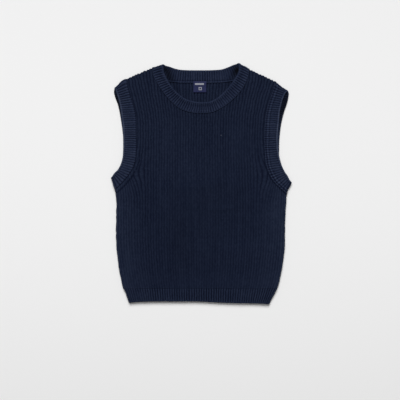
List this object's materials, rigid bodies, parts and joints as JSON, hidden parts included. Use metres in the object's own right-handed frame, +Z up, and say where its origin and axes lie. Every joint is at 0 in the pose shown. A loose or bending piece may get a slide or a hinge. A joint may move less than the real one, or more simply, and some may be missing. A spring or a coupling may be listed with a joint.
{
  "type": "knitted sweater vest",
  "caption": "Sleeveless ribbed-knit sweater vest laid flat on its back, with a round neckband, ribbed armhole bands, hem ribbing and a small inner neck label.",
  "frame": {"origin": "on the ground under the middle of the laid garment", "axes": "+X to the right of the picture of the front, +Y up the garment from hem to neck, +Z up from the ground, out of the front"},
  "size_m": [0.3883, 0.5182, 0.0079],
  "materials": {
    "body_knit": "matte navy cotton in a ribbed knit",
    "rib_knit": "matte navy cotton in a tighter ribbed knit",
    "label_weave": "woven satin label, blue"
  },
  "bodies": {
    "root": {"front_panel": "body_knit", "back_panel": "body_knit", "front_hem_band": "rib_knit", "back_hem_band": "rib_knit", "neckband": "rib_knit", "armhole_band_left": "rib_knit", "armhole_band_right": "rib_knit", "neck_label": "label_weave"}
  },
  "joints": []
}
